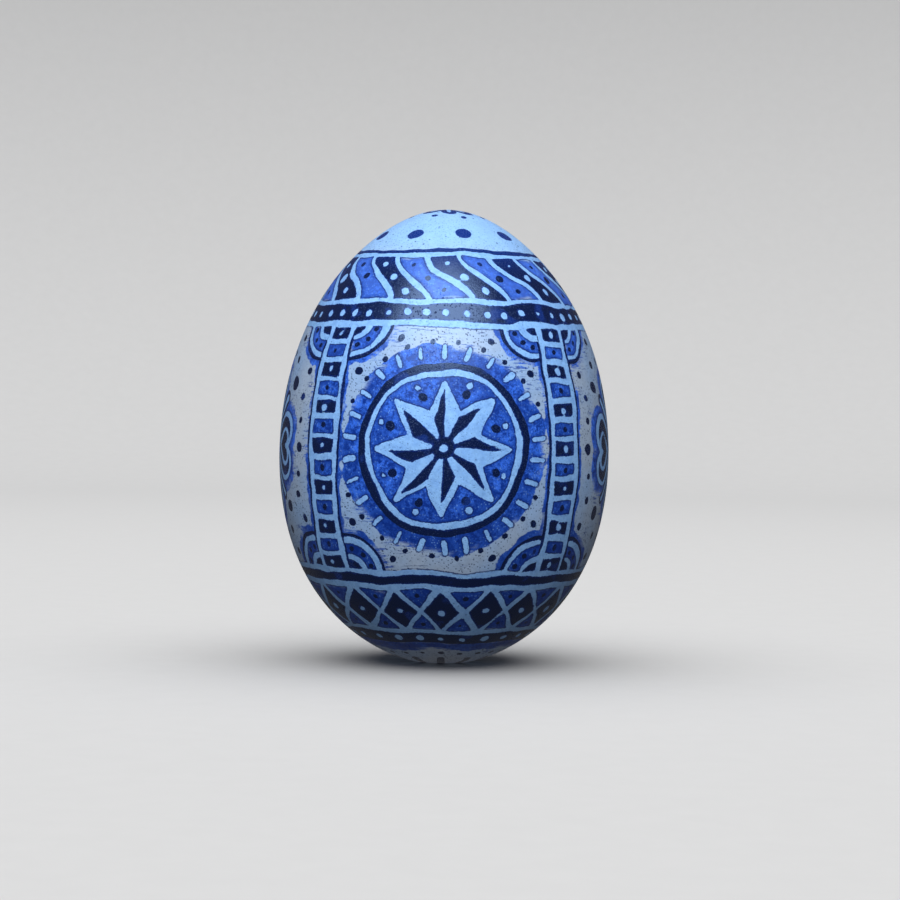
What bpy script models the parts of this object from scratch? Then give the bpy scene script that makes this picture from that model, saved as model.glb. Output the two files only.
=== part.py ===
"""A hen's egg that stands upright on a small flat spot at its blunt end.

Metres, +Z up. The origin is the centre of the flat spot, and the pointed end is on top.
Run with: blender --background --python part.py
"""

import math

import bpy

EGG_LENGTH = 0.0580  # pole to pole, before the flat spot is taken off
EGG_WIDTH = 0.0420  # widest diameter
FLAT_SPOT_RADIUS = 0.0040

# How the outline departs from an ellipse: weights of height, height squared and so on,
# where height runs from -1 at the blunt pole to 1 at the pointed one.
OUTLINE_WEIGHTS = (-0.073, 0.044, -0.030, -0.106)

TURN_STEPS = 72  # flats round the egg
SIDE_STEPS = 40  # flats from the top pole to the rim of the flat spot
MERGE_DISTANCE = 0.00005

SHELL_COLOUR = (0.33, 0.44, 0.70, 1.0)  # the pale blue that the dyes and the bare shell make together
SHELL_ROUGHNESS = 0.45


def clear_scene():
    for thing in list(bpy.data.objects):
        bpy.data.objects.remove(thing)


def shell_material():
    material = bpy.data.materials.new("dyed_eggshell")
    material.use_nodes = True
    surface = material.node_tree.nodes["Principled BSDF"]
    surface.inputs["Base Color"].default_value = SHELL_COLOUR
    surface.inputs["Roughness"].default_value = SHELL_ROUGHNESS
    surface.inputs["Metallic"].default_value = 0.0
    return material


def fullness(height):
    """Radius of the egg at a height from -1 to 1, before it is scaled to EGG_WIDTH."""
    swell = 1.0 + sum(
        weight * height**power for power, weight in enumerate(OUTLINE_WEIGHTS, start=1)
    )
    return math.sqrt(max(0.0, 1.0 - height * height)) * swell


def widest_fullness():
    samples = 2000
    return max(fullness(2.0 * step / samples - 1.0) for step in range(samples + 1))


def height_of_flat_spot(scale):
    """The height, from -1 to 0, where the blunt end is as wide as the flat spot."""
    low, high = -1.0, 0.0
    for _ in range(60):
        middle = (low + high) / 2
        if fullness(middle) * scale < FLAT_SPOT_RADIUS:
            low = middle
        else:
            high = middle
    return (low + high) / 2


def egg_profile():
    """Half of the outline, as (radius, z), from the top pole down to the centre of the flat spot."""
    scale = EGG_WIDTH / 2 / widest_fullness()
    lowest = height_of_flat_spot(scale)
    half_length = EGG_LENGTH / 2
    lowest_angle = math.acos(lowest)
    profile = []
    for step in range(SIDE_STEPS + 1):
        height = math.cos(lowest_angle * step / SIDE_STEPS)
        profile.append((fullness(height) * scale, (height - lowest) * half_length))
    profile[0] = (0.0, profile[0][1])
    profile.append((0.0, 0.0))
    return profile


def turned(name, profile, material, collection):
    """An object whose mesh is the profile turned once round Z by a Screw modifier."""
    mesh = bpy.data.meshes.new(name)
    points = [(radius, 0.0, z) for radius, z in profile]
    edges = [(step, step + 1) for step in range(len(points) - 1)]
    mesh.from_pydata(points, edges, [])
    mesh.materials.append(material)

    egg = bpy.data.objects.new(name, mesh)
    collection.objects.link(egg)
    screw = egg.modifiers.new("turn", "SCREW")
    screw.axis = "Z"
    screw.angle = math.tau
    screw.steps = screw.render_steps = TURN_STEPS
    screw.use_merge_vertices = True
    screw.merge_threshold = MERGE_DISTANCE
    screw.use_smooth_shade = True
    return egg


def main():
    clear_scene()
    collection = bpy.data.collections.new("decorated_egg")
    bpy.context.scene.collection.children.link(collection)
    turned("egg", egg_profile(), shell_material(), collection)


main()
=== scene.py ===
# A wax and dye egg: a satin hen's egg with a folk design in pale blue, cobalt and navy.
import math

import bpy
import numpy as np
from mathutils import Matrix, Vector


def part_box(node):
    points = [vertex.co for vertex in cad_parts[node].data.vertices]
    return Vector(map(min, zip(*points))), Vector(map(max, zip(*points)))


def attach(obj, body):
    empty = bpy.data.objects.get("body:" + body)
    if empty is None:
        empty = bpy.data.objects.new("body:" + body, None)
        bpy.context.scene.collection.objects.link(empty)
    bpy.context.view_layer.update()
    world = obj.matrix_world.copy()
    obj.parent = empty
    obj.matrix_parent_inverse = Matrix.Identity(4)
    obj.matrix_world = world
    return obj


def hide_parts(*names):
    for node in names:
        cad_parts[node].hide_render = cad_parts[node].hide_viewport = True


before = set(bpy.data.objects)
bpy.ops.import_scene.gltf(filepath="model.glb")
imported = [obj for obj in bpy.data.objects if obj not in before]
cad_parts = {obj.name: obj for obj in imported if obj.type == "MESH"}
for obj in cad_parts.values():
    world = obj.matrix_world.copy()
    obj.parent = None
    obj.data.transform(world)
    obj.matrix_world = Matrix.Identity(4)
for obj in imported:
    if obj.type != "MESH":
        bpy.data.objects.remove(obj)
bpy.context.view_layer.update()  # metres, +Z up, the flat spot's centre at the origin


# Small helpers for node trees. A value is linked if it is a socket, and else typed in.

def feed(tree, value, socket):
    if isinstance(value, bpy.types.NodeSocket):
        tree.links.new(value, socket)
    else:
        socket.default_value = value


def calc(tree, operation, *values, clamp=False):
    node = tree.nodes.new("ShaderNodeMath")
    node.operation = operation
    node.use_clamp = clamp
    for value, socket in zip(values, node.inputs):
        feed(tree, value, socket)
    return node.outputs[0]


def calcVector(tree, operation, *values):
    node = tree.nodes.new("ShaderNodeVectorMath")
    node.operation = operation
    for value, socket in zip(values, node.inputs):
        feed(tree, value, socket)
    return node.outputs[0]


def noise(tree, where, size, detail=2.0, seed=0.0, roughness=0.5):
    node = tree.nodes.new("ShaderNodeTexNoise")
    node.noise_dimensions = "4D"
    feed(tree, where, node.inputs["Vector"])
    node.inputs["W"].default_value = seed
    node.inputs["Scale"].default_value = 1.0 / size
    node.inputs["Detail"].default_value = detail
    node.inputs["Roughness"].default_value = roughness
    return node.outputs["Fac"]


# The shell's shape

shellShape = {
    "outlineWeights": (-0.073, 0.044, -0.030, -0.106),  # of height, height squared and so on, from -1 to 1
    "flatSpotRadius": 0.0040,
    "flatSpotBlend": 0.00006,  # how softly the flat spot's rim is turned
    "edgePoints": 129,  # along each edge of the cube that is blown up into the egg
    "swellSize": 0.0075,  # the slow unevenness that a real shell has
    "swellDepth": 0.00005,
    "grainSize": 0.0012,
    "grainDepth": 0.000008,
    "seed": 4.0,
}


def fullness(height):
    swell = 1.0 + sum(w * height ** (n + 1) for n, w in enumerate(shellShape["outlineWeights"]))
    return math.sqrt(max(0.0, 1.0 - height * height)) * swell


def measureShell():
    low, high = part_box("egg")
    steps = 2000
    widest = max(fullness(2.0 * n / steps - 1.0) for n in range(steps + 1))
    spread = (high.x - low.x) / 2 / widest
    below, above = -1.0, 0.0
    for _ in range(60):  # halves in on the height where the blunt end is as wide as the flat spot
        middle = (below + above) / 2
        if fullness(middle) * spread < shellShape["flatSpotRadius"]:
            below = middle
        else:
            above = middle
    halfLength = (high.z - low.z) / (1.0 - middle)
    return {"spread": spread, "halfLength": halfLength, "lowest": middle}


def shellTree(material):
    tree = bpy.data.node_groups.new("blownEgg", "GeometryNodeTree")
    tree.is_modifier = True
    slots = {}
    for name, kind in (
        ("Edge points", "NodeSocketInt"),
        ("Spread", "NodeSocketFloat"),
        ("Half length", "NodeSocketFloat"),
        ("Flat spot height", "NodeSocketFloat"),
        ("Flat spot blend", "NodeSocketFloat"),
        ("Swell depth", "NodeSocketFloat"),
        ("Grain depth", "NodeSocketFloat"),
    ):
        slots[name] = tree.interface.new_socket(name=name, in_out="INPUT", socket_type=kind).identifier
    tree.interface.new_socket(name="Geometry", in_out="OUTPUT", socket_type="NodeSocketGeometry")
    given = tree.nodes.new("NodeGroupInput").outputs

    cube = tree.nodes.new("GeometryNodeMeshCube")
    cube.inputs["Size"].default_value = (2.0, 2.0, 2.0)
    for axis in "XYZ":
        tree.links.new(given["Edge points"], cube.inputs["Vertices " + axis])

    # the tangent evens out the faces that the cube gives to the ball
    place = tree.nodes.new("GeometryNodeInputPosition").outputs[0]
    bent = calcVector(tree, "TANGENT", calcVector(tree, "MULTIPLY", place, (math.pi / 4,) * 3))
    ball = tree.nodes.new("ShaderNodeSeparateXYZ")
    tree.links.new(calcVector(tree, "NORMALIZE", bent), ball.inputs[0])
    height = ball.outputs["Z"]
    swell = 0.0
    for weight in reversed(shellShape["outlineWeights"]):
        swell = calc(tree, "MULTIPLY", calc(tree, "ADD", swell, weight), height)
    wide = calc(tree, "MULTIPLY", calc(tree, "ADD", swell, 1.0), given["Spread"])
    rise = calc(tree, "MULTIPLY", height, given["Half length"])
    rise = calc(tree, "SMOOTH_MAX", rise, given["Flat spot height"], given["Flat spot blend"])
    blown = tree.nodes.new("ShaderNodeCombineXYZ")
    tree.links.new(calc(tree, "MULTIPLY", ball.outputs["X"], wide), blown.inputs["X"])
    tree.links.new(calc(tree, "MULTIPLY", ball.outputs["Y"], wide), blown.inputs["Y"])
    tree.links.new(calc(tree, "SUBTRACT", rise, given["Flat spot height"]), blown.inputs["Z"])
    shaped = tree.nodes.new("GeometryNodeSetPosition")
    tree.links.new(cube.outputs["Mesh"], shaped.inputs["Geometry"])
    tree.links.new(blown.outputs[0], shaped.inputs["Position"])

    # the unevenness fades out towards the flat spot, which stays flat
    place = tree.nodes.new("GeometryNodeInputPosition").outputs[0]
    slow = noise(tree, place, shellShape["swellSize"], 1.0, shellShape["seed"])
    fast = noise(tree, place, shellShape["grainSize"], 1.0, shellShape["seed"] + 1.0)
    slow = calc(tree, "MULTIPLY", calc(tree, "SUBTRACT", slow, 0.5), given["Swell depth"])
    fast = calc(tree, "MULTIPLY", calc(tree, "SUBTRACT", fast, 0.5), given["Grain depth"])
    split = tree.nodes.new("ShaderNodeSeparateXYZ")
    tree.links.new(place, split.inputs[0])
    fade = tree.nodes.new("ShaderNodeMapRange")
    tree.links.new(split.outputs["Z"], fade.inputs["Value"])
    fade.inputs["From Max"].default_value = 0.002
    amount = calc(tree, "MULTIPLY", calc(tree, "ADD", slow, fast), fade.outputs[0])
    push = tree.nodes.new("ShaderNodeVectorMath")
    push.operation = "SCALE"
    tree.links.new(tree.nodes.new("GeometryNodeInputNormal").outputs["Normal"], push.inputs[0])
    tree.links.new(amount, push.inputs["Scale"])
    uneven = tree.nodes.new("GeometryNodeSetPosition")
    tree.links.new(shaped.outputs[0], uneven.inputs["Geometry"])
    tree.links.new(push.outputs[0], uneven.inputs["Offset"])

    smooth = tree.nodes.new("GeometryNodeSetShadeSmooth")
    solid = tree.nodes.new("GeometryNodeRealizeInstances")
    dressed = tree.nodes.new("GeometryNodeSetMaterial")
    dressed.inputs["Material"].default_value = material
    result = tree.nodes.new("NodeGroupOutput")
    chain = [uneven, smooth, solid, dressed, result]
    for before, after in zip(chain, chain[1:]):
        tree.links.new(before.outputs[0], after.inputs[0])
    return tree, slots


def blowShell(measures, material):
    mesh = bpy.data.meshes.new("paintedShell")
    shell = bpy.data.objects.new("paintedShell", mesh)
    bpy.context.scene.collection.objects.link(shell)
    tree, slots = shellTree(material)
    modifier = shell.modifiers.new("blownEgg", "NODES")
    modifier.node_group = tree
    modifier[slots["Edge points"]] = shellShape["edgePoints"]
    modifier[slots["Spread"]] = measures["spread"]
    modifier[slots["Half length"]] = measures["halfLength"]
    modifier[slots["Flat spot height"]] = measures["lowest"] * measures["halfLength"]
    modifier[slots["Flat spot blend"]] = shellShape["flatSpotBlend"]
    modifier[slots["Swell depth"]] = shellShape["swellDepth"]
    modifier[slots["Grain depth"]] = shellShape["grainDepth"]
    seen = shell.evaluated_get(bpy.context.evaluated_depsgraph_get())
    settled = bpy.data.meshes.new_from_object(seen)
    shell.modifiers.clear()
    shell.data = settled
    print("shell:", len(settled.polygons), "faces")
    return shell


# The drawing. It is worked out in millimetres on the shell: along is the way down the egg's
# side from the top, and turn is the way round, 0 at the front. Each layer holds, for every
# point of the mesh, how far it lies outside that layer's shapes, and so less than 0 inside.

drawing = {
    "lineWidth": 0.68,
    "wobble": 0.23,  # how far the hand strays
    "wobbleLength": 9.0,
    "tremble": 0.08,
    "trembleLength": 2.6,
    "press": 0.11,  # how much a line swells and thins
    "dotSpread": 0.08,  # how much the dots differ in size
    "dotStray": 0.05,
    "fields": 4,
    "fieldReach": 18.0,
    "beltTop": 24.2,
    "beltMiddle": 39.8,
    "beltBottom": 55.4,
    "seed": 7,
}
layerNames = ("wax", "ink", "wash")
farGap = 9.0


def slowWaves(places, length, count, chance):
    total = np.zeros(len(places))
    for _ in range(count):
        heading = chance.normal(size=3)
        heading /= np.linalg.norm(heading)
        total += np.sin(places @ heading * (math.tau / length) + chance.uniform(0, math.tau))
    return total / math.sqrt(count / 2)


def surveyShell(shell, measures):
    mesh = shell.data
    places = np.empty(len(mesh.vertices) * 3, np.float32)
    mesh.vertices.foreach_get("co", places)
    places = places.reshape(-1, 3).astype(float) * 1000
    chance = np.random.default_rng(drawing["seed"])
    press = slowWaves(places, drawing["wobbleLength"] * 0.6, 8, chance) * drawing["press"] / 2
    for size, length in (("wobble", "wobbleLength"), ("tremble", "trembleLength")):
        shift = [slowWaves(places, drawing[length], 8, chance) for _ in range(3)]
        places = places + np.stack(shift, axis=1) * drawing[size] / math.sqrt(3)

    # the egg's outline, from the top to the middle of the flat spot
    heights = np.cos(np.linspace(0.0, math.acos(measures["lowest"]), 600))
    radii = np.array([fullness(h) for h in heights]) * measures["spread"] * 1000
    levels = (heights - measures["lowest"]) * measures["halfLength"] * 1000
    radii = np.append(radii, 0.0)
    levels = np.append(levels, 0.0)
    radii[0] = 0.0
    lengths = np.append(0.0, np.cumsum(np.hypot(np.diff(radii), np.diff(levels))))
    middle = levels[0] / 2
    angles = np.arctan2(radii, levels - middle)
    seen = np.arctan2(np.hypot(places[:, 0], places[:, 1]), places[:, 2] - middle)
    along = np.interp(seen, angles, lengths)
    layers = {name: np.full(len(places), farGap) for name in layerNames}
    return {
        "places": places,
        "along": along,
        "turn": np.arctan2(places[:, 0], -places[:, 1]),
        "round": np.maximum(np.interp(along, lengths, radii), 0.5),
        "outline": (lengths, radii, levels),
        "press": press,
        "layers": layers,
        "all": {"near": slice(None), "layers": layers},
        "chance": chance,
    }


def patchAt(canvas, along, turn, reach):
    # the points near one place, as millimetres to the right and up from it on the surface
    lengths, radii, levels = canvas["outline"]
    out, level = np.interp(along, lengths, radii), np.interp(along, lengths, levels)
    step = 0.2
    slope = np.array([
        np.interp(along - step, lengths, radii) - np.interp(along + step, lengths, radii),
        np.interp(along - step, lengths, levels) - np.interp(along + step, lengths, levels),
    ])
    slope /= np.linalg.norm(slope)
    outward = np.array([math.sin(turn), -math.cos(turn), 0.0])
    right = np.array([math.cos(turn), math.sin(turn), 0.0])
    up = outward * slope[0] + np.array([0.0, 0.0, slope[1]])
    offset = canvas["places"] - (outward * out + np.array([0.0, 0.0, level]))
    near = np.flatnonzero((np.abs(offset) < reach).all(axis=1))
    offset = offset[near]
    flat = np.stack([offset @ right, offset @ up], axis=1)
    apart = np.linalg.norm(offset, axis=1)
    flat *= (apart / np.maximum(np.linalg.norm(flat, axis=1), 1e-6))[:, None]
    return {"near": near, "spots": flat, "layers": canvas["layers"]}


def lay(patch, layer, *gaps):
    # adds the shape where all the given gaps are below 0
    held = patch["layers"][layer]
    held[patch["near"]] = np.minimum(held[patch["near"]], np.maximum.reduce(gaps))


def lift(patch, layer, *gaps):
    # takes that shape out of the layer
    held = patch["layers"][layer]
    held[patch["near"]] = np.maximum(held[patch["near"]], -np.maximum.reduce(gaps))


def strokeGap(spots, path, width):
    nearest = np.full(len(spots), farGap)
    for start, end in zip(path, path[1:]):
        start, run = np.array(start, float), np.array(end, float) - start
        share = np.clip((spots - start) @ run / max(run @ run, 1e-9), 0.0, 1.0)
        nearest = np.minimum(nearest, np.linalg.norm(spots - start - share[:, None] * run, axis=1))
    return nearest - width / 2


def areaGap(spots, outline):
    closed = list(outline) + [outline[0]]
    inside = np.zeros(len(spots), bool)
    for (startX, startY), (endX, endY) in zip(closed, closed[1:]):
        between = (startY > spots[:, 1]) != (endY > spots[:, 1])
        drop = endY - startY if endY != startY else 1e-9
        crossing = startX + (spots[:, 1] - startY) * (endX - startX) / drop
        inside ^= between & (spots[:, 0] < crossing)
    edge = strokeGap(spots, closed, 0.0)
    return np.where(inside, -edge, edge)


def dotGap(spots, centre, radius):
    return np.linalg.norm(spots - np.array(centre, float), axis=1) - radius


def polar(reach, angle):
    return (reach * math.sin(angle), reach * math.cos(angle))


def roundAt(canvas, along):
    return float(np.interp(along, canvas["outline"][0], canvas["outline"][1]))


def dot(canvas, layer, along, turn, radius):
    chance = canvas["chance"]
    radius *= 1.0 + drawing["dotSpread"] * np.clip(chance.normal(), -1.5, 1.5)
    stray = np.clip(chance.normal(size=2), -1.5, 1.5) * drawing["dotStray"]
    patch = patchAt(canvas, along, turn, radius + 1.5)
    gaps = dotGap(patch["spots"], stray, radius)
    lay(patch, layer, gaps)
    if layer == "ink":
        lift(patch, "wax", gaps)


def dotRing(canvas, layer, along, count, radius, start=0.0):
    for n in range(count):
        dot(canvas, layer, along, math.tau * (n + start) / count, radius)


def between(canvas, top, bottom):
    return np.maximum(top - canvas["along"], canvas["along"] - bottom)


def ringLine(canvas, along):
    half = drawing["lineWidth"] / 2
    lay(canvas["all"], "wax", between(canvas, along - half, along + half))


asterisk = {
    "rays": 8,
    "inkReach": 3.0,
    "inkWidth": 2.0,
    "waxReach": 2.8,
    "waxWidth": 0.62,
    "smallDots": (4.9, 0.42),  # how far out, and radius
    "largeDots": (9.7, 1.12),
    "largeCount": 9,
    "largeStart": 0.35,  # how far the first is from the front, in dots
}


def drawCap(canvas):
    # a small asterisk at the pointed end, and dots round it
    patch = patchAt(canvas, 0.0, 0.0, 7.0)
    spots = patch["spots"]
    out, size = asterisk["smallDots"]
    for n in range(asterisk["rays"]):
        angle = math.tau * n / asterisk["rays"]
        midway = angle + math.pi / asterisk["rays"]
        for layer in ("ink", "wax"):
            ray = [(0, 0), polar(asterisk[layer + "Reach"], angle)]
            lay(patch, layer, strokeGap(spots, ray, asterisk[layer + "Width"]))
        lay(patch, "ink", dotGap(spots, polar(out, midway), size))
    out, size = asterisk["largeDots"]
    dotRing(canvas, "ink", out, asterisk["largeCount"], size, asterisk["largeStart"])


rope = {
    "top": 13.8,
    "bottom": 21.2,
    "lean": 0.62,  # how far a stroke leans to each side, in cells
    "cells": 20,  # an even number, because cobalt and navy take turns
    "rim": 0.95,
    "dotPlaces": (-0.56, 0.0, 0.56),  # down a cell, in half heights
    "waxDots": (0.42, 0.50, 0.42),
    "inkDots": (0.38, 0.58, 0.38),
    "beltCount": 44,
    "beltDot": 0.44,
}


def drawRope(canvas):
    # leaning strokes that part cells of cobalt and navy, and a belt of dots below them
    top, bottom, lean, cells = rope["top"], rope["bottom"], rope["lean"], rope["cells"]
    middle, half = (top + bottom) / 2, (bottom - top) / 2
    band = between(canvas, top, bottom)
    down = np.clip((canvas["along"] - middle) / half, -1.0, 1.0) * math.pi / 2
    width = math.tau * canvas["round"] / cells
    share = canvas["turn"] / math.tau * cells - lean * np.sin(down)
    slope = lean * width * math.pi / 2 / half * np.cos(down)
    edge = np.abs(share - np.round(share)) * width / np.sqrt(1.0 + slope * slope)
    dark = np.floor(share) % 2 == 0
    lay(canvas["all"], "wash", band)
    lay(canvas["all"], "ink", band, np.where(dark, -edge, edge))
    lay(canvas["all"], "wax", band, edge - drawing["lineWidth"] / 2)
    lay(canvas["all"], "ink", between(canvas, top - rope["rim"], top))
    lay(canvas["all"], "ink", between(canvas, bottom, drawing["beltTop"]))
    ringLine(canvas, top)
    ringLine(canvas, bottom)
    for n in range(cells):
        layer = "wax" if n % 2 == 0 else "ink"
        for size, offset in zip(rope[layer + "Dots"], rope["dotPlaces"]):
            turn = (n + 0.5 + lean * math.sin(offset * math.pi / 2)) / cells * math.tau
            dot(canvas, layer, middle + offset * half, turn, size)
    dotRing(canvas, "wax", (bottom + drawing["beltTop"]) / 2, rope["beltCount"], rope["beltDot"])


star = {
    "points": 8,
    "tip": 8.15,
    "notch": 4.5,
    "edgeLine": 0.85,  # in line widths
    "disc": 9.4,
    "ring": 10.7,
    "wash": 13.0,
    "inkDots": (6.9, 0.55),  # how far out, and radius
    "waxDots": (8.05, 0.36),
    "hub": 1.5,
    "hubDot": 0.62,
    "rays": 26,
    "rayStart": 11.4,
    "rayEnd": 12.7,
    "rayLine": 0.9,  # in line widths
    "rimDots": (13.3, 0.36),
    "rimHalf": 12.6,  # the ribbons come close past it
}


def drawStar(canvas, turn):
    # an eight-pointed star on a cobalt disc, each point half navy and half bare wax
    patch = patchAt(canvas, drawing["beltMiddle"], turn, drawing["fieldReach"])
    spots = patch["spots"]
    line, disc = drawing["lineWidth"], star["disc"]
    away = np.linalg.norm(spots, axis=1)
    lay(patch, "wash", away - star["wash"])
    lay(patch, "ink", away - star["ring"], disc - away)
    lay(patch, "wax", np.abs(away - disc) - line / 2)
    side = math.pi / star["points"]
    for n in range(star["points"]):
        angle = math.tau * n / star["points"]
        point = polar(star["tip"], angle)
        before, after = polar(star["notch"], angle - side), polar(star["notch"], angle + side)
        lay(patch, "ink", areaGap(spots, [(0, 0), point, before]))
        lay(patch, "wax", areaGap(spots, [(0, 0), point, after]))
        lay(patch, "wax", strokeGap(spots, [before, point, after], line * star["edgeLine"]))
        for layer in ("ink", "wax"):
            out, size = star[layer + "Dots"]
            lay(patch, layer, dotGap(spots, polar(out, angle + side), size))
    hub = dotGap(spots, (0, 0), star["hub"])
    lay(patch, "ink", hub)
    lift(patch, "wax", hub)
    lay(patch, "wax", dotGap(spots, (0, 0), star["hubDot"]))
    out, size = star["rimDots"]
    for n in range(star["rays"]):
        angle = math.tau * n / star["rays"]
        ray = [polar(star["rayStart"], angle), polar(star["rayEnd"], angle)]
        lay(patch, "wax", strokeGap(spots, ray, line * star["rayLine"]))
        rim = polar(out, angle + math.pi / star["rays"])
        if abs(rim[0]) < star["rimHalf"]:
            lay(patch, "ink", dotGap(spots, rim, size))


hearts = {
    "count": 4,
    "size": 8.2,
    "tip": 1.4,  # how far a heart's tip lies from the middle
    "innerSize": 4.4,
    "innerTip": 3.8,
    "innerLine": 0.8,  # in line widths
    "spill": 1.7,  # how far the cobalt runs past a heart
    "rayStart": 3.0,
    "rayEnd": 8.6,
    "rayWidth": 1.7,
    "rayWaxStart": 2.4,
    "dots": ((11.6, 0.0, 0.7), (11.8, -0.3, 0.45), (11.8, 0.3, 0.45)),  # how far out and round, radius
    "rayDots": ((11.2, 0.0, 0.85), (12.6, -0.24, 0.5), (12.6, 0.24, 0.5)),
    "hub": 1.7,
    "hubDot": 0.7,
    "pathPoints": 40,
}


def heartPath(size, heading, tip):
    # a heart whose tip points back at the middle
    path = []
    for n in range(hearts["pathPoints"]):
        t = math.tau * n / hearts["pathPoints"]
        x = 16 * math.sin(t) ** 3
        y = 13 * math.cos(t) - 5 * math.cos(2 * t) - 2 * math.cos(3 * t) - math.cos(4 * t)
        x, y = x * size / 32, (y + 17) * size / 32 + tip
        path.append((x * math.cos(heading) + y * math.sin(heading),
                     y * math.cos(heading) - x * math.sin(heading)))
    return path


def drawHearts(canvas, turn):
    # four hearts that point at each other, with a ray between each two
    patch = patchAt(canvas, drawing["beltMiddle"], turn, drawing["fieldReach"])
    spots = patch["spots"]
    line = drawing["lineWidth"]
    for n in range(hearts["count"]):
        heading = math.tau * n / hearts["count"]
        gaps = areaGap(spots, heartPath(hearts["size"], heading, hearts["tip"]))
        inner = areaGap(spots, heartPath(hearts["innerSize"], heading, hearts["innerTip"]))
        lay(patch, "wash", gaps - hearts["spill"])
        lay(patch, "ink", gaps)
        lay(patch, "wax", np.abs(gaps) - line / 2)
        lay(patch, "wax", np.abs(inner) - line * hearts["innerLine"] / 2)
        side = heading + math.pi / hearts["count"]
        end = polar(hearts["rayEnd"], side)
        lay(patch, "ink", strokeGap(spots, [polar(hearts["rayStart"], side), end], hearts["rayWidth"]))
        lay(patch, "wax", strokeGap(spots, [polar(hearts["rayWaxStart"], side), end], line))
        for name, middle in (("dots", heading), ("rayDots", side)):
            for out, swing, size in hearts[name]:
                lay(patch, "ink", dotGap(spots, polar(out, middle + swing), size))
    lay(patch, "ink", dotGap(spots, (0, 0), hearts["hub"]))
    lay(patch, "wax", dotGap(spots, (0, 0), hearts["hubDot"]))


ribbon = {
    "half": 2.0,
    "cells": 13,
    "border": 0.7,
    "spill": 1.1,
    "dot": 0.40,
}


def drawRibbon(canvas, turn):
    # an upright ribbon of cells, navy and cobalt in turn
    top, bottom, half = drawing["beltTop"], drawing["beltBottom"], ribbon["half"]
    line, cells = drawing["lineWidth"], ribbon["cells"]
    offset = (canvas["turn"] - turn + math.pi) % math.tau - math.pi
    across = np.abs(offset * canvas["round"])
    length = between(canvas, top, bottom)
    share = (canvas["along"] - top) / (bottom - top) * cells
    rung = np.abs(share - np.round(share)) * (bottom - top) / cells
    dark = np.floor(share) % 2 == 0
    lay(canvas["all"], "wash", across - half - ribbon["spill"], length)
    lay(canvas["all"], "ink", across - half - ribbon["border"], half - across, length)
    lay(canvas["all"], "ink", across - half, length, np.where(dark, -rung, rung))
    lines = np.minimum(np.abs(across - half), np.maximum(rung, across - half))
    lay(canvas["all"], "wax", lines - line / 2, length)
    for n in range(cells):
        layer = "wax" if n % 2 == 0 else "ink"
        dot(canvas, layer, top + (n + 0.5) * (bottom - top) / cells, turn, ribbon["dot"])


corners = {
    "inset": 0.5,  # from the ribbon's line
    "arcs": (4.1, 1.9),
    "rim": 4.9,
    "wash": 5.5,
    "spill": 0.4,
    "arcDots": (3.0, 0.36),  # how far out, and radius
    "rimDots": (6.4, 0.50),
}


def drawCorners(canvas, turn):
    # a quarter fan in each corner of a field, and dots along its rim
    line = drawing["lineWidth"]
    wide, narrow = corners["arcs"]
    (dotOut, dotSize), (rimOut, rimSize) = corners["arcDots"], corners["rimDots"]
    for along, up in ((drawing["beltTop"], -1), (drawing["beltBottom"], 1)):
        for side in (-1, 1):
            out = roundAt(canvas, along)
            edge = math.pi / drawing["fields"] - (ribbon["half"] + corners["inset"]) / out
            patch = patchAt(canvas, along, turn + side * edge, 9.0)
            spots = patch["spots"]
            away = np.linalg.norm(spots, axis=1)
            quarter = np.maximum(side * spots[:, 0], -up * spots[:, 1])
            lay(patch, "wash", away - corners["wash"], quarter - corners["spill"])
            lay(patch, "ink", away - corners["rim"], wide - away, quarter)
            lay(patch, "ink", away - narrow, quarter)
            for arc in (wide, narrow):
                lay(patch, "wax", np.abs(away - arc) - line / 2, quarter)
            for n in range(3):
                angle = (n + 0.5) * math.pi / 6
                at = (-side * math.cos(angle), up * math.sin(angle))
                lay(patch, "ink", dotGap(spots, (dotOut * at[0], dotOut * at[1]), dotSize))
                if n != 1:  # the medallion's dots come close there
                    lay(patch, "ink", dotGap(spots, (rimOut * at[0], rimOut * at[1]), rimSize))


lattice = {
    "top": 57.3,
    "bottom": 64.8,
    "count": 18,
    "line": 0.92,  # in line widths
    "waxDot": 0.48,
    "inkDot": 0.34,
    "inkInset": 1.4,
}


def drawLattice(canvas):
    # a chain of lozenges round the egg
    top, bottom, count = lattice["top"], lattice["bottom"], lattice["count"]
    middle, half = (top + bottom) / 2, (bottom - top) / 2
    line = drawing["lineWidth"] * lattice["line"]
    width = math.tau * canvas["round"] / count
    share = canvas["turn"] / math.tau * count
    across = np.abs(share - np.round(share)) * width
    down = np.abs(canvas["along"] - middle)
    lozenge = (across * half + down * width / 2 - half * width / 2) / np.hypot(half, width / 2)
    band = between(canvas, top, bottom)
    lay(canvas["all"], "wash", band)
    lay(canvas["all"], "ink", band, lozenge)
    lay(canvas["all"], "wax", band, np.abs(lozenge) - line / 2)
    lay(canvas["all"], "ink", between(canvas, drawing["beltBottom"], top))
    for along in (drawing["beltBottom"], top, bottom):
        ringLine(canvas, along)
    dotRing(canvas, "wax", middle, count, lattice["waxDot"])
    dotRing(canvas, "ink", top + lattice["inkInset"], count, lattice["inkDot"], 0.5)
    dotRing(canvas, "ink", bottom - lattice["inkInset"], count, lattice["inkDot"], 0.5)


foot = {
    "inkEnd": 67.3,
    "wash": (66.8, 69.3),
    "waxDots": (66.3, 26, 0.42),  # how far down, how many, radius
    "inkDots": (70.2, 22, 0.42),
    "rays": 12,
    "rayMiddle": 73.4,
    "rayHalf": 1.3,
    "rayWidth": 0.95,
}


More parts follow.
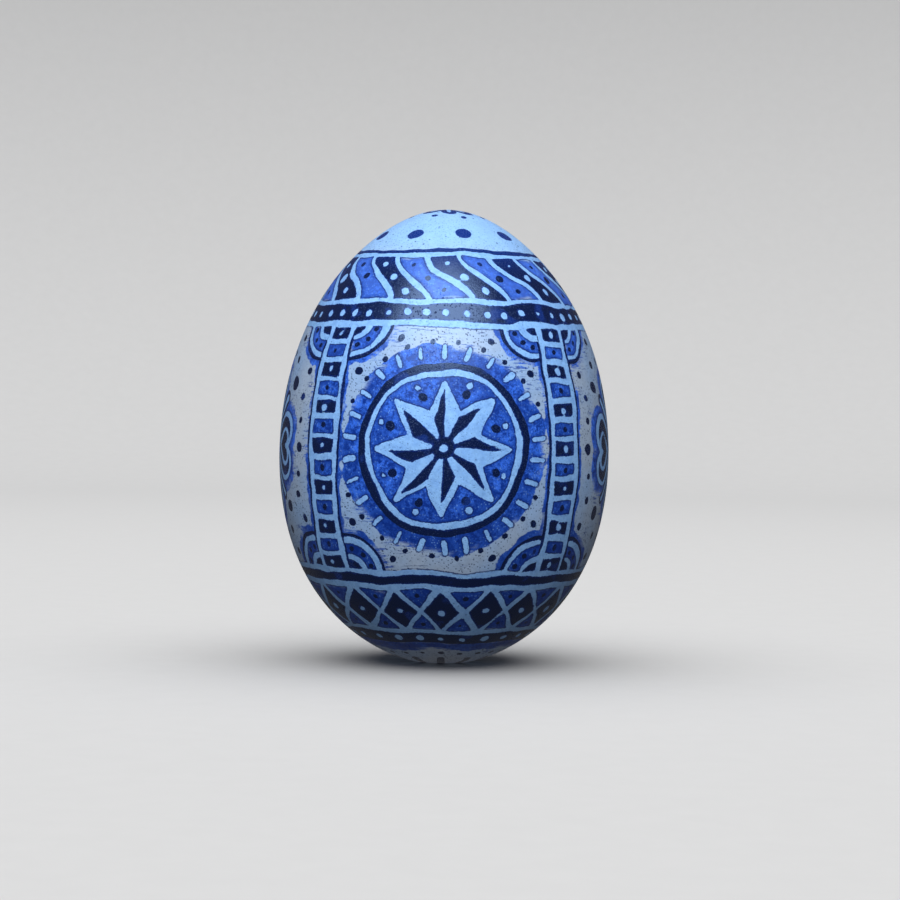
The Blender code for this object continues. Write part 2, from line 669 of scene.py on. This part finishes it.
def drawFoot(canvas):
    # a dotted belt, a cobalt edge, and short rays round the flat spot
    lay(canvas["all"], "ink", between(canvas, lattice["bottom"], foot["inkEnd"]))
    dotRing(canvas, "wax", *foot["waxDots"])
    lay(canvas["all"], "wash", between(canvas, *foot["wash"]))
    dotRing(canvas, "ink", *foot["inkDots"])
    ray = [(0, -foot["rayHalf"]), (0, foot["rayHalf"])]
    for n in range(foot["rays"]):
        patch = patchAt(canvas, foot["rayMiddle"], math.tau * n / foot["rays"], 3.5)
        lay(patch, "ink", strokeGap(patch["spots"], ray, foot["rayWidth"]))


def drawAll(canvas):
    drawCap(canvas)
    drawRope(canvas)
    for n in range(drawing["fields"]):
        turn = math.tau * n / drawing["fields"]
        drawCorners(canvas, turn)
        if n % 2 == 0:
            drawStar(canvas, turn)
        else:
            drawHearts(canvas, turn)
        drawRibbon(canvas, turn + math.pi / drawing["fields"])
    ringLine(canvas, drawing["beltTop"])
    drawLattice(canvas)
    drawFoot(canvas)
    print("drawing:", ", ".join(layerNames))


def storeLayers(shell, canvas):
    for name in layerNames:
        gaps = canvas["layers"][name] - canvas["press"] * (name == "wax")
        attribute = shell.data.attributes.new(name, "FLOAT", "POINT")
        attribute.data.foreach_set("value", np.clip(gaps, -farGap, farGap).astype(np.float32))


# The finish: dyes on a bare satin shell

finish = {
    "bare": (0.340, 0.455, 0.650),
    "bareWarm": (0.425, 0.475, 0.570),
    "pore": (0.020, 0.028, 0.070),
    "wax": (0.240, 0.430, 0.760),
    "waxPale": (0.320, 0.540, 0.860),
    "cobalt": (0.0012, 0.029, 0.240),
    "cobaltPale": (0.045, 0.170, 0.760),
    "cobaltTop": (0.085, 0.190, 0.660),
    "cobaltLow": (0.0008, 0.026, 0.225),
    "navy": (0.0016, 0.0080, 0.0480),
    "navyBlue": (0.008, 0.032, 0.190),
    "contour": (0.002, 0.015, 0.120),
    "edgeSoftness": 0.035,  # millimetres, as all sizes here
    "waxRagged": 0.16,
    "inkRagged": 0.13,
    "washRagged": 0.95,
    "contourWidth": 0.17,
    "capHeights": (47.5, 54.0),  # where the bare shell turns pale blue on the way up
    "topHeights": (34.0, 50.0),  # where the cobalt turns paler on the way up
    "lowHeights": (24.0, 17.0),  # where it turns deeper on the way down
    "widePits": (0.9, 0.13, 0.5),  # spacing, radius, and the share of places that have one
    "finePits": (0.32, 0.09, 0.8),
    "sparks": (0.32, 0.09, 0.7),
    "waxPits": (0.8, 0.11, 0.5),
    "clusterSize": 4.0,
    "cloudSize": 9.0,
    "mottleSize": 0.30,
    "blotchSize": 1.1,
    "deepSize": 3.4,
    "patchSize": 4.5,
    "ghostSize": 5.5,
    "thinSize": 3.2,
    "waxCloudSize": 1.0,
    "grain": 0.17,
    "bareRoughness": 0.36,
    "inkRoughness": 0.27,
    "grainRoughness": 0.26,
    "bumpDepth": 0.000018,
    "ior": 1.5,
    "sheenLevel": 0.85,
    "sheenTint": (0.52, 0.68, 1.0),
}


def readLayer(tree, name):
    node = tree.nodes.new("ShaderNodeAttribute")
    node.attribute_name = name
    return node.outputs["Fac"]


def step(tree, value, start, end):
    # 0 before start and 1 past end, or the other way round where start is the larger
    node = tree.nodes.new("ShaderNodeMapRange")
    node.interpolation_type = "SMOOTHSTEP"
    feed(tree, value, node.inputs["Value"])
    low, high, first, last = (start, end, 0.0, 1.0) if start < end else (end, start, 1.0, 0.0)
    for name, number in (("From Min", low), ("From Max", high), ("To Min", first), ("To Max", last)):
        node.inputs[name].default_value = number
    return node.outputs[0]


def times(tree, *values):
    total = values[0]
    for value in values[1:]:
        total = calc(tree, "MULTIPLY", total, value)
    return total


def without(tree, value):
    return calc(tree, "SUBTRACT", 1.0, value)


def mixColour(tree, share, under, over):
    node = tree.nodes.new("ShaderNodeMix")
    node.data_type = "RGBA"
    feed(tree, share, node.inputs[0])
    for value, socket in ((under, node.inputs[6]), (over, node.inputs[7])):
        feed(tree, value if isinstance(value, bpy.types.NodeSocket) else (*value, 1.0), socket)
    return node.outputs[2]


def roughen(tree, gap, where, size, amount, seed, detail=3.0):
    swing = calc(tree, "SUBTRACT", noise(tree, where, size, detail, seed, 0.6), 0.5)
    return calc(tree, "ADD", gap, calc(tree, "MULTIPLY", swing, amount * 2))


def specks(tree, where, size, radius, share, seed):
    # round specks in some of the cells of a loose grid
    cells = tree.nodes.new("ShaderNodeTexVoronoi")
    moved = calcVector(tree, "ADD", where, (seed * 13.7, seed * 7.1, seed * 3.3))
    feed(tree, moved, cells.inputs["Vector"])
    cells.inputs["Scale"].default_value = 1.0 / size
    near = step(tree, cells.outputs["Distance"], radius / size * 1.3, radius / size * 0.6)
    split = tree.nodes.new("ShaderNodeSeparateColor")
    tree.links.new(cells.outputs["Color"], split.inputs[0])
    return calc(tree, "MULTIPLY", near, calc(tree, "LESS_THAN", split.outputs[0], share))


def dyedShell():
    look = finish
    material = bpy.data.materials.new("dyedShell")
    material.use_nodes = True
    tree = material.node_tree
    surface = tree.nodes["Principled BSDF"]
    coordinates = tree.nodes.new("ShaderNodeTexCoord")
    mapping = tree.nodes.new("ShaderNodeMapping")
    mapping.inputs["Scale"].default_value = (1000.0, 1000.0, 1000.0)  # millimetres from here on
    tree.links.new(coordinates.outputs["Object"], mapping.inputs["Vector"])
    where = mapping.outputs[0]
    streaks = tree.nodes.new("ShaderNodeMapping")
    streaks.inputs["Scale"].default_value = (520.0, 520.0, 3400.0)  # brush marks run round the egg
    tree.links.new(coordinates.outputs["Object"], streaks.inputs["Vector"])
    scratches = noise(tree, streaks.outputs[0], 1.0, 4.0, 8.0, 0.7)
    split = tree.nodes.new("ShaderNodeSeparateXYZ")
    tree.links.new(where, split.inputs[0])
    high = split.outputs["Z"]

    soft = look["edgeSoftness"]
    wax = roughen(tree, readLayer(tree, "wax"), where, 0.36, look["waxRagged"], 1.0)
    ink = roughen(tree, readLayer(tree, "ink"), where, 0.9, look["inkRagged"], 2.0)
    wash = roughen(tree, readLayer(tree, "wash"), where, 2.2, look["washRagged"], 3.0, 4.0)

    # pits in the shell, which hold dye: a few wide ones, and fine ones in loose clusters
    clusters = step(tree, noise(tree, where, look["clusterSize"], 2.0, 17.0), 0.40, 0.62)
    widePits = specks(tree, where, *look["widePits"], 7.0)
    finePits = times(tree, specks(tree, where, *look["finePits"], 6.0),
                     calc(tree, "ADD", clusters, 0.45, clamp=True))
    pits = calc(tree, "MAXIMUM", widePits, finePits)

    # bare shell, with slow warm clouds and fine mottling, and paler and bluer at the pointed end
    clouds = noise(tree, where, look["cloudSize"], 3.0, 4.0)
    mottle = noise(tree, where, look["mottleSize"], 3.0, 5.0, 0.75)
    blotches = noise(tree, where, look["blotchSize"], 3.0, 18.0, 0.6)
    colour = mixColour(tree, step(tree, clouds, 0.38, 0.62), look["bare"], look["bareWarm"])
    cap = step(tree, roughen(tree, high, where, 7.0, 2.0, 19.0), *look["capHeights"])
    colour = mixColour(tree, times(tree, cap, 0.85), colour, look["waxPale"])
    shade = calc(tree, "ADD", times(tree, mottle, 0.50), times(tree, blotches, 0.30))
    shade = calc(tree, "ADD", shade, 0.60)
    colour = calcVector(tree, "MULTIPLY", colour, shade)
    colour = mixColour(tree, times(tree, widePits, 0.8), colour, look["pore"])
    fineShare = times(tree, finePits, calc(tree, "SUBTRACT", 0.75, times(tree, cap, 0.40)))
    colour = mixColour(tree, fineShare, colour, look["pore"])

    # cobalt, thin and mottled with pale sparks, paler high up and deeper low down, darker where it
    # pooled beside a line, worn to flecks at its edge and with scratchy remains past it
    tone = calc(tree, "ADD", times(tree, mottle, 0.55), times(tree, blotches, 0.45))
    cobalt = mixColour(tree, step(tree, tone, 0.42, 0.57), look["cobalt"], look["cobaltPale"])
    deep = step(tree, noise(tree, where, look["deepSize"], 2.0, 20.0), 0.46, 0.62)
    cobalt = mixColour(tree, times(tree, deep, 0.55), cobalt, look["cobalt"])
    for name, share in (("Top", 0.5), ("Low", 0.6)):
        reach = step(tree, high, *look[name.lower() + "Heights"])
        cobalt = mixColour(tree, times(tree, reach, share), cobalt, look["cobalt" + name])
    pooled = times(tree, step(tree, wax, 0.8, 0.1), step(tree, blotches, 0.36, 0.56), 0.75)
    cobalt = mixColour(tree, pooled, cobalt, look["cobalt"])
    thinned = times(tree, step(tree, wash, -1.0, -0.2), 0.12)
    cobalt = mixColour(tree, thinned, cobalt, look["cobaltPale"])
    sparks = times(tree, specks(tree, where, *look["sparks"], 16.0), step(tree, blotches, 0.40, 0.56))
    cobalt = mixColour(tree, times(tree, sparks, 0.45), cobalt, look["wax"])
    patches = step(tree, noise(tree, where, look["patchSize"], 1.0, 9.0), 0.48, 0.58)
    remains = times(tree, step(tree, scratches, 0.53, 0.59), patches, step(tree, wash, 1.7, 0.5))
    flecks = times(tree, step(tree, scratches, 0.57, 0.50), patches, step(tree, wash, -0.9, -0.1))
    washShare = times(tree, step(tree, wash, soft * 2, -soft * 2), without(tree, flecks))
    washShare = calc(tree, "MAXIMUM", washShare, times(tree, remains, 0.85))
    cobalt = mixColour(tree, step(tree, wash, 0.2, 0.7), cobalt, look["cobaltLow"])
    colour = mixColour(tree, washShare, colour, cobalt)

    # thin dark pen lines that follow the wax lines a little way off, on bare shell far from any dye
    ghost = calc(tree, "ABSOLUTE", calc(tree, "SUBTRACT", wax, 0.55))
    ghost = times(tree, step(tree, ghost, 0.09, 0.03), step(tree, wash, 1.2, 1.6),
                  step(tree, noise(tree, where, look["ghostSize"], 2.0, 15.0), 0.50, 0.57))
    colour = mixColour(tree, times(tree, ghost, 0.7), colour, look["contour"])

    # navy, with blue showing through here and there and at the pointed end
    thin = step(tree, noise(tree, where, look["thinSize"], 3.0, 10.0), 0.58, 0.68)
    thin = calc(tree, "MAXIMUM", times(tree, thin, 0.8), cap)
    navy = mixColour(tree, thin, look["navy"], look["navyBlue"])
    inkShare = step(tree, ink, soft, -soft)
    colour = mixColour(tree, inkShare, colour, navy)

    # the bare wax lines and the thin dark contour along them
    rim = times(tree, step(tree, wax, look["contourWidth"] + soft, look["contourWidth"] - soft),
                step(tree, noise(tree, where, look["blotchSize"], 2.0, 11.0), 0.32, 0.46))
    colour = mixColour(tree, times(tree, rim, 0.85), colour, look["contour"])
    waxClouds = step(tree, noise(tree, where, look["waxCloudSize"], 4.0, 12.0, 0.7), 0.34, 0.66)
    waxColour = mixColour(tree, waxClouds, look["wax"], look["waxPale"])
    waxColour = calcVector(tree, "MULTIPLY", waxColour, shade)
    waxColour = mixColour(tree, times(tree, finePits, 0.26), waxColour, look["contour"])
    waxPits = specks(tree, where, *look["waxPits"], 13.0)
    waxColour = mixColour(tree, times(tree, waxPits, 0.5), waxColour, look["contour"])
    waxShare = step(tree, wax, soft, -soft)
    colour = mixColour(tree, waxShare, colour, waxColour)
    tree.links.new(colour, surface.inputs["Base Color"])

    # navy shines a little more than the bare shell, and the pits and a fine grain break it up
    grain = noise(tree, where, look["grain"], 2.0, 14.0, 0.7)
    dark = times(tree, inkShare, without(tree, waxShare))
    gloss = times(tree, dark, look["inkRoughness"] - look["bareRoughness"])
    roughness = calc(tree, "ADD", gloss, look["bareRoughness"] - look["grainRoughness"] / 2)
    roughness = calc(tree, "ADD", roughness, times(tree, grain, look["grainRoughness"]))
    roughness = calc(tree, "ADD", roughness, times(tree, pits, 0.55), clamp=True)
    tree.links.new(roughness, surface.inputs["Roughness"])
    bump = tree.nodes.new("ShaderNodeBump")
    bump.inputs["Strength"].default_value = 1.0
    bump.inputs["Distance"].default_value = look["bumpDepth"]
    tree.links.new(calc(tree, "SUBTRACT", grain, pits), bump.inputs["Height"])
    tree.links.new(bump.outputs[0], surface.inputs["Normal"])
    surface.inputs["IOR"].default_value = look["ior"]
    surface.inputs["Specular IOR Level"].default_value = look["sheenLevel"]
    surface.inputs["Specular Tint"].default_value = (*look["sheenTint"], 1.0)
    return material


# The studio: a pale round sweep with its own light overhead, and three soft lights on the egg: a cool
# one above the front, a weaker one lower down and a warm one behind

studio = {
    "floorColour": (0.62, 0.62, 0.62),
    "wallDistance": 0.80,
    "wallRadius": 0.30,
    "wallHeight": 0.9,
    "wallSteps": 96,
    "worldColour": (0.60, 0.61, 0.64),
    "worldStrength": 0.14,
    "lights": (  # name, turn and height in degrees, distance, width, height, power, colour
        ("key", -5.0, 55.0, 0.55, 0.62, 0.50, 5.0, (0.72, 0.86, 1.0)),
        ("fill", -5.0, 20.0, 0.55, 0.50, 0.50, 1.1, (0.76, 0.88, 1.0)),
        ("back", 180.0, 30.0, 0.55, 0.50, 0.50, 1.7, (1.0, 0.96, 0.92)),
        ("paper", 0.0, 90.0, 0.90, 2.00, 2.00, 21.0, (1.0, 1.0, 1.0)),
    ),
    "paperLight": "paper",  # lights only the sweep, and the others only the egg
    "sheenLights": ("key",),  # only these show in the shell's shine
    "lens": 105.0,
    "cameraHeight": 1.5,
    "cameraDistance": 0.3355,
    "cameraRoll": 0.85,
    "aimRight": 0.00076,
    "aimUp": 0.0269,
}


def sweepMaterial():
    material = bpy.data.materials.new("palePaper")
    material.use_nodes = True
    tree = material.node_tree
    surface = tree.nodes["Principled BSDF"]
    coordinates = tree.nodes.new("ShaderNodeTexCoord")
    fibres = noise(tree, coordinates.outputs["Object"], 0.004, 4.0, 1.0, 0.6)
    low, high = (tuple(v * k for v in studio["floorColour"]) for k in (0.97, 1.03))
    tree.links.new(mixColour(tree, fibres, low, high), surface.inputs["Base Color"])
    surface.inputs["Roughness"].default_value = 0.9
    return material


def makeSweep():
    # a round floor that turns up into a wall all the way round
    wall, radius, steps = studio["wallDistance"], studio["wallRadius"], studio["wallSteps"]
    profile = [((wall - radius) * n / 6, 0.0) for n in range(1, 7)]
    for n in range(1, 17):
        angle = math.pi / 2 * n / 16
        profile.append((wall - radius + radius * math.sin(angle), radius - radius * math.cos(angle)))
    profile.append((wall, studio["wallHeight"]))
    points = [(0.0, 0.0, 0.0)]
    for out, level in profile:
        for n in range(steps):
            angle = math.tau * n / steps
            points.append((out * math.cos(angle), out * math.sin(angle), level))
    faces = [(0, 1 + n, 1 + (n + 1) % steps) for n in range(steps)]
    for ring in range(len(profile) - 1):
        start = 1 + ring * steps
        for n in range(steps):
            after = (n + 1) % steps
            faces.append((start + n, start + steps + n, start + steps + after, start + after))
    mesh = bpy.data.meshes.new("studioSweep")
    mesh.from_pydata(points, [], faces)
    mesh.shade_smooth()
    mesh.materials.append(sweepMaterial())
    sweep = bpy.data.objects.new("studioSweep", mesh)
    bpy.context.scene.collection.objects.link(sweep)
    # the paper throws no light back at the egg, so its underside stays as dim as in the photo
    sweep.visible_diffuse = False
    sweep.visible_glossy = False
    sweep.visible_shadow = False
    return sweep


def around(turn, height, distance, target):
    turn, height = math.radians(turn), math.radians(height)
    flat = distance * math.cos(height)
    return target + Vector((flat * math.sin(turn), -flat * math.cos(turn), distance * math.sin(height)))


def addLight(name, turn, height, distance, wide, tall, power, colour):
    data = bpy.data.lights.new(name, "AREA")
    data.shape = "ELLIPSE"
    data.size = wide
    data.size_y = tall
    data.energy = power
    data.color = colour
    middle = Vector((0.0, 0.0, 0.029))
    light = bpy.data.objects.new(name + "Light", data)
    light.location = around(turn, height, distance, middle)
    light.rotation_euler = (middle - light.location).to_track_quat("-Z", "Y").to_euler()
    light.visible_camera = False
    light.visible_glossy = name in studio["sheenLights"]
    bpy.context.scene.collection.objects.link(light)
    return light


def lightWorld():
    world = bpy.data.worlds.new("paleRoom")
    world.use_nodes = True
    tree = world.node_tree
    background = tree.nodes["Background"]
    background.inputs["Color"].default_value = (*studio["worldColour"], 1.0)
    background.inputs["Strength"].default_value = studio["worldStrength"]
    bpy.context.scene.world = world


def litGroup(name, thing):
    group = bpy.data.collections.new(name)
    group.objects.link(thing)
    return group


def lightStudio(sweep, egg):
    onPaper = litGroup("onPaper", sweep)
    onEgg = litGroup("onEgg", egg)
    for row in studio["lights"]:
        paperOnly = row[0] == studio["paperLight"]
        addLight(*row).light_linking.receiver_collection = onPaper if paperOnly else onEgg
    lightWorld()
    bpy.context.scene.view_settings.view_transform = "Standard"


def addCamera():
    data = bpy.data.cameras.new("camera")
    data.lens = studio["lens"]
    data.clip_start = 0.01
    camera = bpy.data.objects.new("camera", data)
    target = Vector((studio["aimRight"], 0.0, studio["aimUp"]))
    camera.location = around(0.0, studio["cameraHeight"], studio["cameraDistance"], target)
    turned = (target - camera.location).to_track_quat("-Z", "Y").to_euler()
    turned.rotate_axis("Z", math.radians(studio["cameraRoll"]))
    camera.rotation_euler = turned
    bpy.context.scene.collection.objects.link(camera)
    bpy.context.scene.camera = camera


measures = measureShell()
egg = blowShell(measures, dyedShell())
canvas = surveyShell(egg, measures)
drawAll(canvas)
storeLayers(egg, canvas)
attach(egg, "root")
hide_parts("egg")
addCamera()
lightStudio(makeSweep(), egg)
